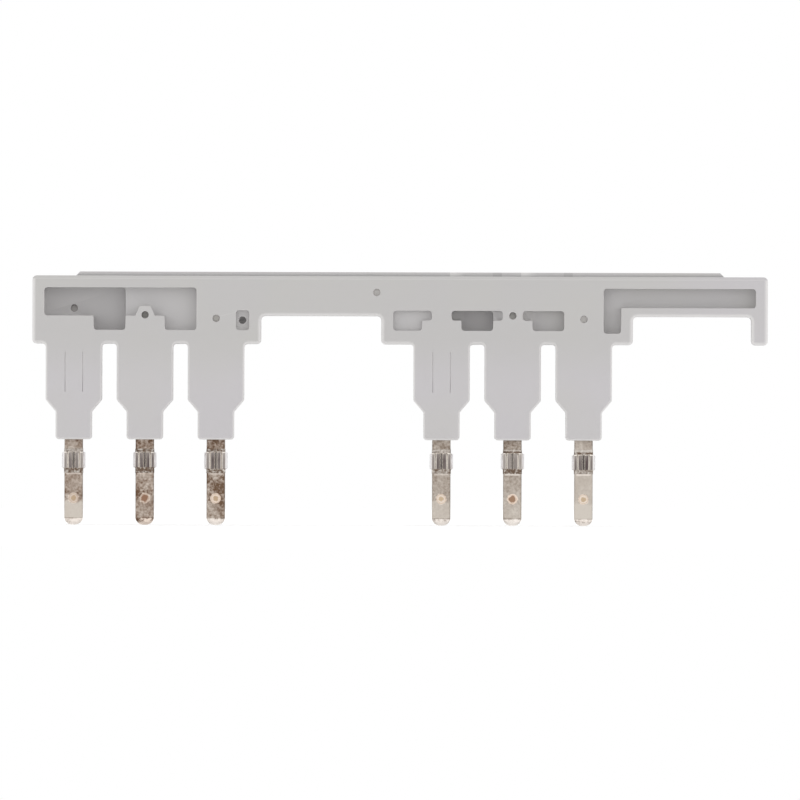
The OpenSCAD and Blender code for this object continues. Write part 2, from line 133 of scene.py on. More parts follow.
# Inside the moulding the tin is painted darker at the left end and lighter towards the right, as shade and
# light in the holes where it shows
LEFT_END_X = (-23 * MM, -30 * MM)
HOLE_LIGHTENING_X = (-10 * MM, 8 * MM)


def merged_copy(node):
    """A node's surface as whole faces: its loose triangles joined, and flat ones made one face."""
    shape = bmesh.new()
    shape.from_mesh(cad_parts[node].data)
    bmesh.ops.remove_doubles(shape, verts=shape.verts, dist=MERGE_DISTANCE)
    bmesh.ops.dissolve_limit(shape, angle_limit=FLAT_ANGLE, verts=shape.verts, edges=shape.edges)
    return shape


def soften(shape, edges, radius):
    """Rounds chosen edges of a shape."""
    bmesh.ops.bevel(
        shape, geom=edges, offset=radius, offset_type="OFFSET", affect="EDGES",
        segments=EDGE_SEGMENTS, profile=0.5, material=-1, clamp_overlap=False,
    )


def as_piece(shape, name, material):
    """Makes an object of a finished shape, smooth over its roundings and flat on its faces."""
    mesh = bpy.data.meshes.new(name)
    shape.to_mesh(mesh)
    shape.free()
    for face in mesh.polygons:
        face.use_smooth = True
    mesh.set_sharp_from_angle(angle=SHARP_ANGLE)
    mesh.materials.append(material)
    piece = bpy.data.objects.new(name, mesh)
    bpy.context.scene.collection.objects.link(piece)
    flat_faces = piece.modifiers.new("flat faces", "WEIGHTED_NORMAL")
    flat_faces.keep_sharp = True
    return piece


def linear(hex_colour):
    """An sRGB hex colour as the linear colour that sockets take."""
    channels = [int(hex_colour[i:i + 2], 16) / 255 for i in (1, 3, 5)]
    return [c / 12.92 if c <= 0.04045 else ((c + 0.055) / 1.055) ** 2.4 for c in channels] + [1]


def add(tree, kind, sockets=None, **settings):
    """Adds a node. A socket takes a value, a socket to link, or a node, whose first output it links."""
    node = tree.nodes.new("ShaderNode" + kind)
    for name, value in settings.items():
        setattr(node, name, value)
    for key, value in (sockets or {}).items():
        live = [s for s in node.inputs if s.enabled]
        socket = live[key] if isinstance(key, int) else next(s for s in live if s.name == key)
        if isinstance(value, bpy.types.Node):
            value = next(s for s in value.outputs if s.enabled)
        if isinstance(value, bpy.types.NodeSocket):
            tree.links.new(value, socket)
        else:
            socket.default_value = value
    return node


# The bright tins are worn metal with a painted highlight on the tips, and a painted highlight alone on the
# shoulders
TIN = linear("#D5CDC3")
PINK_TIN = linear("#DDBEAA")
RUBBED_HIGHLIGHT_TIN = linear("#FFF8F1")
RUBBED_HIGHLIGHT_PINK_TIN = linear("#E4C4AA")
# Tin in the holes: painted shade at the left end, painted light towards the right
LEFT_END_SHADED_TIN = linear("#9A9795")
SHADED_HOLE_TIN = linear("#B9B6B2")
LIT_HOLE_TIN = linear("#DCD9D5")
LIT_HOLE_FRONT_TIN = linear("#C6C3C0")
GREY_BROWN_FILM = linear("#7A6A5C")
RED_BROWN_FILM = linear("#70543F")
DIMPLE_RIM = linear("#F9EADC")
PALE_FLOOR = linear("#DCC8AA")
DARK_FLOOR = linear("#80523F")


def tinned_copper():
    """Tin plating over copper, dull from handling: warm grey metal under a brown film in fine grains,
    bright at the worn tips and at the rims of the clinch dimples, with a painted highlight on the tips
    and on the shoulders below the sleeves."""
    material = bpy.data.materials.new("tin-plated copper")
    material.use_nodes = True
    tree = material.node_tree
    tree.nodes.clear()
    place = add(tree, "TexCoord").outputs["Object"]
    on_pin, cover, wear, marks = (
        add(tree, "SeparateXYZ", {0: add(tree, "Attribute", attribute_name=name).outputs["Vector"]}).outputs
        for name in ("on_pin", "film_cover", "wear", "marks")
    )
    across, up = on_pin["X"], on_pin["Z"]
    tip_cover, further, redness = wear["X"], wear["Y"], wear["Z"]
    side = add(tree, "Math", {0: across}, operation="ABSOLUTE")

    # The grains, gathered in patches
    grains = add(tree, "TexNoise", {
        "Vector": place, "Scale": 1 / FILM_GRAIN, "Detail": 4, "Roughness": 0.65,
    })
    patches = add(tree, "TexNoise", {"Vector": place, "Scale": 1 / FILM_PATCH, "Detail": 2})
    mottle = add(tree, "Mix", {"Factor": PATCH_SHARE, "A": grains, "B": patches})
    speckle = add(tree, "MapRange", {
        "Value": mottle, "From Min": 0.34, "From Max": 0.66, "To Min": 0.2, "To Max": 1.8,
    })

    # The cover changes along the pin, with a ragged line where the further stretch starts
    below = add(tree, "Math", {0: up, 1: further}, operation="SUBTRACT")
    ragged = add(tree, "Math", {0: patches, 1: RAGGED_LINE, 2: below}, operation="MULTIPLY_ADD")
    past_line = add(tree, "MapRange", {
        "Value": ragged,
        "From Min": RAGGED_LINE / 2 + RAGGED_LINE_BLUR, "From Max": RAGGED_LINE / 2 - RAGGED_LINE_BLUR,
    }, interpolation_type="SMOOTHSTEP")
    past_sleeve = add(tree, "MapRange", {
        "Value": up, "From Min": UNDER_SLEEVE_Z[0], "From Max": UNDER_SLEEVE_Z[1],
    })
    upper = add(tree, "Mix", {"Factor": past_sleeve, "A": cover["X"], "B": cover["Y"]})
    # The redder it is, the thicker it gathers towards the dimple
    redder = add(tree, "MapRange", {"Value": redness, "From Min": 0.65, "From Max": 0.8, "To Max": 0.5})
    nearing = add(tree, "MapRange", {
        "Value": up, "From Min": GATHERING_Z[0], "From Max": GATHERING_Z[1], "To Max": redder,
    })
    gathered = add(tree, "Math", {0: upper, 1: nearing, 2: upper}, operation="MULTIPLY_ADD")
    blade = add(tree, "Mix", {"Factor": past_line, "A": gathered, "B": cover["Z"]})
    on_tip = add(tree, "MapRange", {
        "Value": up, "From Min": RUBBED_HIGHLIT_TIP_Z + BLUR, "From Max": RUBBED_HIGHLIT_TIP_Z - BLUR,
    })
    fading = add(tree, "MapRange", {
        "Value": up, "From Min": TIP_FADING_Z[0], "From Max": TIP_FADING_Z[1], "To Min": 1, "To Max": 0.2,
    })
    tip_film = add(tree, "Math", {0: tip_cover, 1: fading}, operation="MULTIPLY")
    whole = add(tree, "Mix", {"Factor": on_tip, "A": blade, "B": tip_film})

    # It is cleared from the shoulder under the sleeve for a painted highlight, it is darker along a line
    # above the tip, and a painted shade darkens it along the side edges
    level = add(tree, "Math", {0: up, 1: SHOULDER_Z, 2: SHOULDER_LINE / 2}, operation="COMPARE")
    inside = add(tree, "MapRange", {
        "Value": side, "From Min": SHOULDER_END_X[0], "From Max": SHOULDER_END_X[1], "To Max": marks["X"],
    })
    shoulder_highlight = add(tree, "Math", {0: level, 1: inside}, operation="MULTIPLY")
    kept = add(tree, "Math", {0: shoulder_highlight, 1: -SHOULDER_HIGHLIGHT, 2: 1}, operation="MULTIPLY_ADD")
    highlighted = add(tree, "Math", {0: whole, 1: kept}, operation="MULTIPLY")
    at_line = add(tree, "Math", {0: up, 1: TIP_LINE_Z, 2: TIP_LINE / 2}, operation="COMPARE")
    lined = add(tree, "Math", {0: at_line, 1: TIP_LINE_DARKENING, 2: highlighted}, operation="MULTIPLY_ADD")
    painted_edge_shade = add(tree, "MapRange", {
        "Value": side, "From Min": SIDE_EDGE_X[0], "From Max": SIDE_EDGE_X[1], "To Max": SIDE_EDGE_SHADE,
    })
    with_edge_shade = add(tree, "Math", {0: lined, 1: painted_edge_shade}, operation="ADD")
    # There is none inside the moulding and under the sleeve
    in_air = add(tree, "MapRange", {
        "Value": up, "From Min": LEG_END_Z + BLUR, "From Max": LEG_END_Z - BLUR,
    })
    under_sleeve = add(tree, "Math", {0: up, 1: WAIST_Z, 2: BARE_WAIST / 2}, operation="COMPARE")
    open_share = add(tree, "Math", {0: in_air, 1: under_sleeve}, operation="SUBTRACT")
    outside = add(tree, "Math", {0: with_edge_shade, 1: open_share}, operation="MULTIPLY")
    # On the rubbed tip it is left in a few dark spots
    spotty = add(tree, "Math", {0: on_tip, 1: 2, 2: 1}, operation="MULTIPLY_ADD")
    spots = add(tree, "Math", {0: speckle, 1: spotty}, operation="POWER")
    film = add(tree, "Math", {0: outside, 1: spots}, operation="MULTIPLY", use_clamp=True)

    # The punched dimple is on the front alone, so what lies behind is taken as far away from it
    drop = add(tree, "Math", {0: up, 1: DIMPLE_Z}, operation="SUBTRACT")
    behind = add(tree, "Math", {0: on_pin["Y"], 1: 0}, operation="MAXIMUM")
    far_behind = add(tree, "Math", {0: behind, 1: FAR}, operation="MULTIPLY")
    from_dimple = add(tree, "CombineXYZ", {"X": across, "Y": drop, "Z": far_behind})
    reach = add(tree, "VectorMath", {0: from_dimple}, operation="LENGTH").outputs["Value"]
    ragged_rim = add(tree, "Math", {0: mottle, 1: RIM_RAGGED, 2: reach}, operation="MULTIPLY_ADD")
    rim = add(tree, "MapRange", {
        "Value": ragged_rim, "From Min": RIM_EDGE_R[0], "From Max": RIM_EDGE_R[1], "To Max": marks["Y"],
    })
    uneven = add(tree, "Math", {0: grains, 1: FLOOR_RAGGED, 2: reach}, operation="MULTIPLY_ADD")
    spread = add(tree, "Math", {0: marks["Z"], 1: -FLOOR_WIDENING, 2: uneven}, operation="MULTIPLY_ADD")
    floor = add(tree, "MapRange", {
        "Value": spread, "From Min": FLOOR_EDGE_R[0], "From Max": FLOOR_EDGE_R[1],
    })

    # The tin is pink where the film is thick and red. Inside the moulding it shows in the small holes.
    stained = add(tree, "Math", {0: patches, 1: whole}, operation="MULTIPLY")
    pinkness = add(tree, "Math", {0: stained, 1: redness}, operation="MULTIPLY")
    tin = add(tree, "Mix", {"Factor": pinkness, "A": TIN, "B": PINK_TIN}, data_type="RGBA")
    along = add(tree, "SeparateXYZ", {0: place}).outputs["X"]
    left_end = add(tree, "MapRange", {
        "Value": along, "From Min": LEFT_END_X[0], "From Max": LEFT_END_X[1],
    })
    to_right = add(tree, "MapRange", {
        "Value": along, "From Min": HOLE_LIGHTENING_X[0], "From Max": HOLE_LIGHTENING_X[1],
    })
    front_strip = add(tree, "Math", {0: on_pin["Y"], 1: 0}, operation="LESS_THAN")
    # The tin seen in the holes is painted darker at the left and lighter to the right, as shade and light
    dull = add(tree, "Mix", {"Factor": left_end, "A": SHADED_HOLE_TIN, "B": LEFT_END_SHADED_TIN}, data_type="RGBA")
    clear = add(tree, "Mix", {
        "Factor": front_strip, "A": LIT_HOLE_TIN, "B": LIT_HOLE_FRONT_TIN,
    }, data_type="RGBA")
    kept_tin = add(tree, "Mix", {"Factor": to_right, "A": dull, "B": clear}, data_type="RGBA")
    moulded_in = add(tree, "Mix", {"Factor": in_air, "A": kept_tin, "B": tin}, data_type="RGBA")

    # Over it come the worn tips and the painted highlights, the film and the dimple
    tinge = add(tree, "Math", {0: tip_cover, 1: redness}, operation="MULTIPLY")
    rubbed_highlight_tin = add(tree, "Mix", {
        "Factor": tinge, "A": RUBBED_HIGHLIGHT_TIN, "B": RUBBED_HIGHLIGHT_PINK_TIN,
    }, data_type="RGBA")
    bright = add(tree, "Math", {0: on_tip, 1: shoulder_highlight}, operation="MAXIMUM")
    polished_and_highlit = add(tree, "Mix", {"Factor": bright, "A": moulded_in, "B": rubbed_highlight_tin}, data_type="RGBA")
    brown = add(tree, "Mix", {
        "Factor": redness, "A": GREY_BROWN_FILM, "B": RED_BROWN_FILM,
    }, data_type="RGBA")
    filmed = add(tree, "Mix", {"Factor": film, "A": polished_and_highlit, "B": brown}, data_type="RGBA")
    rimmed = add(tree, "Mix", {"Factor": rim, "A": filmed, "B": DIMPLE_RIM}, data_type="RGBA")
    punched = add(tree, "Mix", {"Factor": marks["Z"], "A": PALE_FLOOR, "B": DARK_FLOOR}, data_type="RGBA")
    base = add(tree, "Mix", {"Factor": floor, "A": rimmed, "B": punched}, data_type="RGBA")
    roughness = add(tree, "MapRange", {"Value": film, "To Min": 0.36, "To Max": 0.55})
    bump = add(tree, "Bump", {"Strength": 0.35, "Distance": 0.02 * MM, "Height": grains})
    shader = add(tree, "BsdfPrincipled", {
        "Base Color": base, "Metallic": 1, "Roughness": roughness, "Normal": bump,
    })
    add(tree, "OutputMaterial", {"Surface": shader})
    return material


plating = tinned_copper()
for pole in range(POLES):
    node = f"link_bar_{pole + 1}"
    shape = merged_copy(node)
    stamped = [
        edge for edge in shape.edges
        if edge.calc_face_angle() > STAMPED_EDGE_ANGLE
        and max(v.co.z for v in edge.verts) < LEG_END_Z
        and min(v.co.z for v in edge.verts) > FOLD_Z - FOLD_MARGIN
        and any(abs(abs(v.co.z - WAIST_Z) - WAIST_LENGTH / 2) > WAIST_MARGIN for v in edge.verts)
    ]
    soften(shape, stamped, STAMPED_EDGE_R)
    on_pin = shape.verts.layers.float_vector.new("on_pin")
    film_cover = shape.verts.layers.float_vector.new("film_cover")
    wear = shape.verts.layers.float_vector.new("wear")
    marks = shape.verts.layers.float_vector.new("marks")
    for vert in shape.verts:
        pin = min((pole, pole + POLES), key=lambda n: abs(vert.co.x - PIN_X[n]))
        top, upper, lower, tip, further, redness = PIN_FILM[pin]
        vert[on_pin] = (vert.co.x - PIN_X[pin], vert.co.y, vert.co.z)
        vert[film_cover] = (top, upper, lower)
        vert[wear] = (tip, -further * MM, redness)
        vert[marks] = PIN_MARKS[pin]
    link_bar = as_piece(shape, f"tinned_{node}", plating)
    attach(link_bar, "root")
    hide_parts(node)


# Moulded housing
# Glass-filled polyamide in light grey, injection-moulded round the three link bars in one shot.
# Its front is cored out in pockets, and the mould's support pins have left small holes down to the
# strips. The finely eroded mould gives an even matt.

HOUSING_FRONT_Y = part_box("moulded_housing")[0].y
HOUSING_BLOCK_Z = 11.7 * MM
PIN_PITCH = PIN_X[1] - PIN_X[0]
POCKET_LIP_R = 0.05 * MM
# How far a face's normal may be off and still count as square to the front
SQUARE = 0.01
FLOW_CLOUD = 9 * MM
# The real grain is about 0.05 mm: it is drawn at the finest that shows
MOULD_GRAIN = 0.2 * MM

# Where one tone of grey gives way to the next: down the legs, along the arm and into the pockets
LEGS_Z = (13 * MM, 6 * MM)
ARM_X = (34 * MM, 52 * MM)
POCKET_Y = (HOUSING_FRONT_Y + 0.5 * MM, HOUSING_FRONT_Y + 0.9 * MM)
# The shelves beside a pocket of the right block, to the right of a pole: the left one starts past the
# pole's hole and fades into the pocket, and the right one lies before the next pole
LEFT_SHELF_X = 1 * MM
LEFT_SHELF_FADING_X = (2.9 * MM, 1.6 * MM)
RIGHT_SHELF_X = 6.8 * MM
RIGHT_SHELF_LENGTH = 1.1 * MM

BAR_GREY = linear("#C4C2C1")
ARM_GREY = linear("#C8C5C7")
LEG_GREY = linear("#CAC7C9")
# Pocket grey, painted lighter against the shade inside the pockets
POCKET_PAINTED_LIGHT_GREY = linear("#C7C5C5")
# Shelf greys: painted light on the left shelves, painted shade on the right ones
LEFT_SHELF_PAINTED_LIGHT_GREY = linear("#DCDAD9")
RIGHT_SHELF_PAINTED_SHADE_GREY = linear("#BAB8B8")
CLOUD_GREY = linear("#C7C6BE")
# Pale grey of the painted highlight on the front edges
EDGE_HIGHLIGHT_GREY = linear("#E3E1E0")


def grey_polyamide():
    """Light grey glass-filled polyamide from a finely eroded mould: an even, slightly warm matt with
    hardly visible flow clouds and a fine grain that breaks up the gloss."""
    material = bpy.data.materials.new("glass-filled polyamide")
    material.use_nodes = True
    tree = material.node_tree
    tree.nodes.clear()
    place = add(tree, "TexCoord").outputs["Object"]
    spot = add(tree, "SeparateXYZ", {0: place}).outputs

    # The grey is a little lighter along the arm and down the legs, and inside the pockets it is painted
    # lighter against their shade
    on_arm = add(tree, "MapRange", {"Value": spot["X"], "From Min": ARM_X[0], "From Max": ARM_X[1]})
    bar = add(tree, "Mix", {"Factor": on_arm, "A": BAR_GREY, "B": ARM_GREY}, data_type="RGBA")
    in_pocket = add(tree, "MapRange", {
        "Value": spot["Y"], "From Min": POCKET_Y[0], "From Max": POCKET_Y[1],
    })
    bar_and_pocket_light = add(tree, "Mix", {"Factor": in_pocket, "A": bar, "B": POCKET_PAINTED_LIGHT_GREY}, data_type="RGBA")
    # In the right block the shelf at the left of a pocket is painted lighter against its shade, and the one
    # at its right is painted darker as shade. Both tones run on behind the pockets, so they also show on
    # the top and the rear.
    from_pole = add(tree, "Math", {0: spot["X"], 1: PIN_X[POLES]}, operation="SUBTRACT")
    past_pole = add(tree, "Math", {0: from_pole, 1: PIN_PITCH}, operation="MODULO")
    past_hole = add(tree, "Math", {0: past_pole, 1: LEFT_SHELF_X}, operation="GREATER_THAN")
    left_shelf = add(tree, "MapRange", {
        "Value": past_pole,
        "From Min": LEFT_SHELF_FADING_X[0], "From Max": LEFT_SHELF_FADING_X[1], "To Max": past_hole,
    })
    right_shelf = add(tree, "Math", {
        0: past_pole, 1: RIGHT_SHELF_X, 2: RIGHT_SHELF_LENGTH / 2,
    }, operation="COMPARE")
    right_block = add(tree, "Math", {
        0: spot["X"], 1: PIN_X[POLES + 1], 2: PIN_PITCH,
    }, operation="COMPARE")
    right_pocket = add(tree, "Math", {0: in_pocket, 1: right_block}, operation="MULTIPLY")
    on_left_shelf = add(tree, "Math", {0: left_shelf, 1: right_pocket}, operation="MULTIPLY")
    on_right_shelf = add(tree, "Math", {0: right_shelf, 1: right_pocket}, operation="MULTIPLY")
    with_shelf_light = add(tree, "Mix", {
        "Factor": on_left_shelf, "A": bar_and_pocket_light, "B": LEFT_SHELF_PAINTED_LIGHT_GREY,
    }, data_type="RGBA")
    with_shelf_shade = add(tree, "Mix", {
        "Factor": on_right_shelf, "A": with_shelf_light, "B": RIGHT_SHELF_PAINTED_SHADE_GREY,
    }, data_type="RGBA")
    on_legs = add(tree, "MapRange", {
        "Value": spot["Z"], "From Min": LEGS_Z[0], "From Max": LEGS_Z[1],
    }, interpolation_type="SMOOTHSTEP")
    body = add(tree, "Mix", {"Factor": on_legs, "A": with_shelf_shade, "B": LEG_GREY}, data_type="RGBA")
    clouds = add(tree, "TexNoise", {"Vector": place, "Scale": 1 / FLOW_CLOUD, "Detail": 1})
    cloudy = add(tree, "MapRange", {"Value": clouds, "From Min": 0.45, "From Max": 0.75, "To Max": 0.25})
    clouded = add(tree, "Mix", {"Factor": cloudy, "A": body, "B": CLOUD_GREY}, data_type="RGBA")

    # Front edges carry a painted highlight where the surface turns from the front to a side or downwards,
    # though not where they face upwards
    normal = add(tree, "SeparateXYZ", {0: add(tree, "NewGeometry").outputs["Normal"]}).outputs
    frontal = add(tree, "Math", {0: normal["Y"], 1: normal["Y"]}, operation="MULTIPLY")
    sideways = add(tree, "Math", {0: 1, 1: frontal}, operation="SUBTRACT")
    turned = add(tree, "Math", {0: sideways}, operation="SQRT")
    towards_side = add(tree, "MapRange", {"Value": turned, "From Max": 0.65})
    short_of_side = add(tree, "MapRange", {"Value": frontal, "From Max": 0.03})
    highlighted = add(tree, "Math", {0: towards_side, 1: short_of_side}, operation="MULTIPLY")
    not_upward = add(tree, "MapRange", {
        "Value": normal["Z"], "From Min": 0.1, "From Max": 0.4, "To Min": 1, "To Max": 0,
    })
    painted_edge_highlight = add(tree, "Math", {0: highlighted, 1: not_upward}, operation="MULTIPLY")
    base = add(tree, "Mix", {"Factor": painted_edge_highlight, "A": clouded, "B": EDGE_HIGHLIGHT_GREY}, data_type="RGBA")

    grain = add(tree, "TexNoise", {"Vector": place, "Scale": 1 / MOULD_GRAIN, "Detail": 2})
    roughness = add(tree, "MapRange", {"Value": grain, "To Min": 0.46, "To Max": 0.6})
    bump = add(tree, "Bump", {"Strength": 0.2, "Distance": 0.006 * MM, "Height": grain})
    shader = add(tree, "BsdfPrincipled", {
        "Base Color": base, "IOR": 1.53, "Roughness": roughness, "Normal": bump,
    })
    add(tree, "OutputMaterial", {"Surface": shader})
    return material


shape = merged_copy("moulded_housing")
facing_front = {face for face in shape.faces if face.normal.y < SQUARE - 1}
pocket_walls = {face for face in shape.faces if abs(face.normal.y) < SQUARE}
lips = [
    edge for edge in shape.edges
    if edge.is_convex
    and any(face in facing_front for face in edge.link_faces)
    and any(face in pocket_walls for face in edge.link_faces)
    and min(v.co.z for v in edge.verts) > HOUSING_BLOCK_Z
]
soften(shape, lips, POCKET_LIP_R)
housing = as_piece(shape, "grey_housing", grey_polyamide())
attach(housing, "root")
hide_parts("moulded_housing")


# Contact sleeves
# Thin spring-bronze sheet, slotted into slats, formed round the waist of each pin with an open joint
# at the back and silver-plated. The slats bow out and press on the walls of the contactor's socket.

HEAD_Z = -1.24 * MM
UPPER_BEND_Z = -1.64 * MM
LOWER_BEND_Z = -3.6 * MM
FOOT_Z = -4 * MM
OUTER_FACE_R = 0.9 * MM
UPRIGHT_SHARE = 0.5
SLAT_EDGE_ANGLE = math.radians(60)
OUTER_SLAT_EDGE_R = 0.07 * MM
INNER_SLAT_EDGE_R = 0.035 * MM
INNER_SLATS_X = 0.3 * MM
# The collars have spread to the ends of the waist
COLLAR_SPREAD = 0.098 * MM
# How much higher than drawn the upper and the lower bend of each sleeve have settled, in mm
BEND_RISE = [(0.135, 0.02), (0.13, 0.12), (0.17, -0.055), (0.07, 0), (0.1, 0.025), (-0.08, -0.06)]
# Film on each sleeve: dark on its slats, where it also stands for a painted dark reflection, and brown on
# its upper collar, its lower collar and along the upper bend
SLEEVE_FILM_AND_SHADE = [
    (0.85, 0.55, 0.78, 0.50),
    (0.99, 0.75, 0.95, 1.00),
    (0.91, 0.80, 0.78, 0.80),
    (0.93, 0.42, 0.62, 0.42),
    (0.80, 0.36, 0.98, 1.20),
    (0.97, 0.20, 0.52, 1.00),
]

# The dark film, with its painted dark reflection, is cloudy, drawn out along the slats, and lighter
# outwards and upwards
SULPHIDE_CLOUD = 0.3 * MM
ALONG_SLATS = (1, 1, 0.1)
OUTER_SLOT_X = 0.7 * MM
OUTER_SLATS_X = (OUTER_SLOT_X, OUTER_SLOT_X + 0.05 * MM)
OUTER_SLATS_FILM = 0.88
THINNING_Z = (-2.5 * MM, -1.8 * MM)
THINNED_FILM = 0.86
# It gives way to painted highlights in lines beside the slots, on the narrow sides and on the upper bend
INNER_SLOT_X = 0.14 * MM
WIDE_LINE = (0.14 * MM, 0.07 * MM)
FINE_LINE = (0.09 * MM, 0.05 * MM)
WING_X = 1.14 * MM
WING_BLUR = 0.04 * MM
HIGHLIGHT_BEND_Z = (UPPER_BEND_Z - 0.15 * MM, UPPER_BEND_Z - 0.1 * MM)
MIDDLE_SLAT_X = (0.1 * MM, 0.05 * MM)
MIDDLE_SLAT_FILM = 0.55
# Where the brown film starts on the collars, and where the upper bend's own share of it does
HEAD_FILM_Z = (UPPER_BEND_Z - 0.04 * MM, UPPER_BEND_Z + 0.02 * MM)
BEND_FILM_Z = (-1.42 * MM, -1.48 * MM)
FOOT_FILM_Z = (LOWER_BEND_Z + 0.12 * MM, LOWER_BEND_Z + 0.04 * MM)

SILVER = linear("#FEF6EC")
WING_SILVER = linear("#F3F0F0")
COLLAR_SILVER = linear("#DCD5CD")
# Dark sulphide film that also stands for a painted dark reflection on the flats
SULPHIDE_AND_DARK_REFLECTION = linear("#5E5352")
DARKER_MIDDLE_SLAT = linear("#2C2726")
COLLAR_FILM = linear("#6E5C4E")


def plated_spring_sheet():
    """Silver-plated spring bronze: dark with sulphide film and a painted dark reflection on the flats of
    the slats, with painted highlights beside the slots, on the sleeve's sides and on the upper bend, and
    brown like the pin at the collars."""
    material = bpy.data.materials.new("silver-plated spring bronze")
    material.use_nodes = True
    tree = material.node_tree
    tree.nodes.clear()
    place = add(tree, "TexCoord").outputs["Object"]
    spot, cover = (
        add(tree, "SeparateXYZ", {0: add(tree, "Attribute", attribute_name=name).outputs["Vector"]}).outputs
        for name in ("on_sleeve", "film_cover")
    )
    side = add(tree, "Math", {0: spot["X"]}, operation="ABSOLUTE")

    along = add(tree, "VectorMath", {0: place, 1: ALONG_SLATS}, operation="MULTIPLY")
    clouds = add(tree, "TexNoise", {"Vector": along, "Scale": 1 / SULPHIDE_CLOUD, "Detail": 2})
    uneven = add(tree, "MapRange", {
        "Value": clouds, "From Min": 0.3, "From Max": 0.7, "To Min": 0.88, "To Max": 1.1,
    })
    outwards = add(tree, "MapRange", {
        "Value": side, "From Min": OUTER_SLATS_X[0], "From Max": OUTER_SLATS_X[1],
        "To Min": 1, "To Max": OUTER_SLATS_FILM,
    })
    upwards = add(tree, "MapRange", {
        "Value": spot["Z"], "From Min": THINNING_Z[0], "From Max": THINNING_Z[1],
        "To Min": 1, "To Max": THINNED_FILM,
    })
    lighter_out_and_up = add(tree, "Math", {0: outwards, 1: upwards}, operation="MULTIPLY")
    thinned = add(tree, "Math", {0: uneven, 1: lighter_out_and_up}, operation="MULTIPLY")
    film = add(tree, "Math", {0: cover["X"], 1: thinned}, operation="MULTIPLY", use_clamp=True)

    from_outer = add(tree, "Math", {0: side, 1: OUTER_SLOT_X}, operation="SUBTRACT")
    from_inner = add(tree, "Math", {0: side, 1: INNER_SLOT_X}, operation="SUBTRACT")
    near_outer = add(tree, "Math", {0: from_outer}, operation="ABSOLUTE")
    near_inner = add(tree, "Math", {0: from_inner}, operation="ABSOLUTE")
    # Painted highlights beside the slots, on the narrow sides and on the upper bend
    wide_line = add(tree, "MapRange", {
        "Value": near_outer, "From Min": WIDE_LINE[0], "From Max": WIDE_LINE[1],
    })
    fine_line = add(tree, "MapRange", {
        "Value": near_inner, "From Min": FINE_LINE[0], "From Max": FINE_LINE[1], "To Max": 0.5,
    })
    line = add(tree, "Math", {0: wide_line, 1: fine_line}, operation="MAXIMUM")
    wing = add(tree, "MapRange", {
        "Value": side, "From Min": WING_X - WING_BLUR, "From Max": WING_X + WING_BLUR,
    })
    bend = add(tree, "MapRange", {
        "Value": spot["Z"], "From Min": HIGHLIGHT_BEND_Z[0], "From Max": HIGHLIGHT_BEND_Z[1],
    })
    upright = add(tree, "Math", {0: line, 1: wing}, operation="MAXIMUM")
    highlighted = add(tree, "Math", {0: upright, 1: bend}, operation="MAXIMUM")
    kept = add(tree, "Math", {0: 1, 1: highlighted}, operation="SUBTRACT")
    on_flats = add(tree, "Math", {0: film, 1: kept}, operation="MULTIPLY")
    silver = add(tree, "Mix", {"Factor": wing, "A": SILVER, "B": WING_SILVER}, data_type="RGBA")
    side_slats = add(tree, "Mix", {"Factor": on_flats, "A": silver, "B": SULPHIDE_AND_DARK_REFLECTION}, data_type="RGBA")
    # The middle slat is darker still
    middle = add(tree, "MapRange", {
        "Value": side, "From Min": MIDDLE_SLAT_X[0], "From Max": MIDDLE_SLAT_X[1],
        "To Max": MIDDLE_SLAT_FILM,
    })
    slats = add(tree, "Mix", {"Factor": middle, "A": side_slats, "B": DARKER_MIDDLE_SLAT}, data_type="RGBA")

    # The collars carry the same brown grains as the pin
    grains = add(tree, "TexNoise", {
        "Vector": place, "Scale": 1 / FILM_GRAIN, "Detail": 4, "Roughness": 0.65,
    })
    speckle = add(tree, "MapRange", {
        "Value": grains, "From Min": 0.34, "From Max": 0.66, "To Min": 0.1, "To Max": 1.9,
    })
    on_head = add(tree, "MapRange", {
        "Value": spot["Z"], "From Min": HEAD_FILM_Z[0], "From Max": HEAD_FILM_Z[1],
    })
    on_foot = add(tree, "MapRange", {
        "Value": spot["Z"], "From Min": FOOT_FILM_Z[0], "From Max": FOOT_FILM_Z[1],
    })
    on_collar = add(tree, "Math", {0: on_head, 1: on_foot}, operation="MAXIMUM")
    bend_cover = add(tree, "Attribute", attribute_name="bend_film").outputs["Fac"]
    low_head = add(tree, "MapRange", {
        "Value": spot["Z"], "From Min": BEND_FILM_Z[0], "From Max": BEND_FILM_Z[1],
    })
    head_cover = add(tree, "Mix", {"Factor": low_head, "A": cover["Y"], "B": bend_cover})
    collar_cover = add(tree, "Mix", {"Factor": on_head, "A": cover["Z"], "B": head_cover})
    brown = add(tree, "Math", {0: collar_cover, 1: speckle}, operation="MULTIPLY", use_clamp=True)
    collars = add(tree, "Mix", {"Factor": brown, "A": COLLAR_SILVER, "B": COLLAR_FILM}, data_type="RGBA")
    base = add(tree, "Mix", {"Factor": on_collar, "A": slats, "B": collars}, data_type="RGBA")
    roughness = add(tree, "MapRange", {"Value": clouds, "To Min": 0.2, "To Max": 0.4})
    shader = add(tree, "BsdfPrincipled", {"Base Color": base, "Metallic": 1, "Roughness": roughness})
    add(tree, "OutputMaterial", {"Surface": shader})
    return material


def settled(z, upper_rise, lower_rise):
    """Height of a point of a sleeve that has settled in its waist: each stretch shifts with its ends."""
    heights = [FOOT_Z, LOWER_BEND_Z, UPPER_BEND_Z, HEAD_Z]
    rises = [-COLLAR_SPREAD, lower_rise * MM, upper_rise * MM, COLLAR_SPREAD]
    stretch = sum(z > height for height in heights[1:-1])
    start, end = heights[stretch:stretch + 2]
    rise, next_rise = rises[stretch:stretch + 2]
    return z + rise + (next_rise - rise) * (z - start) / (end - start)


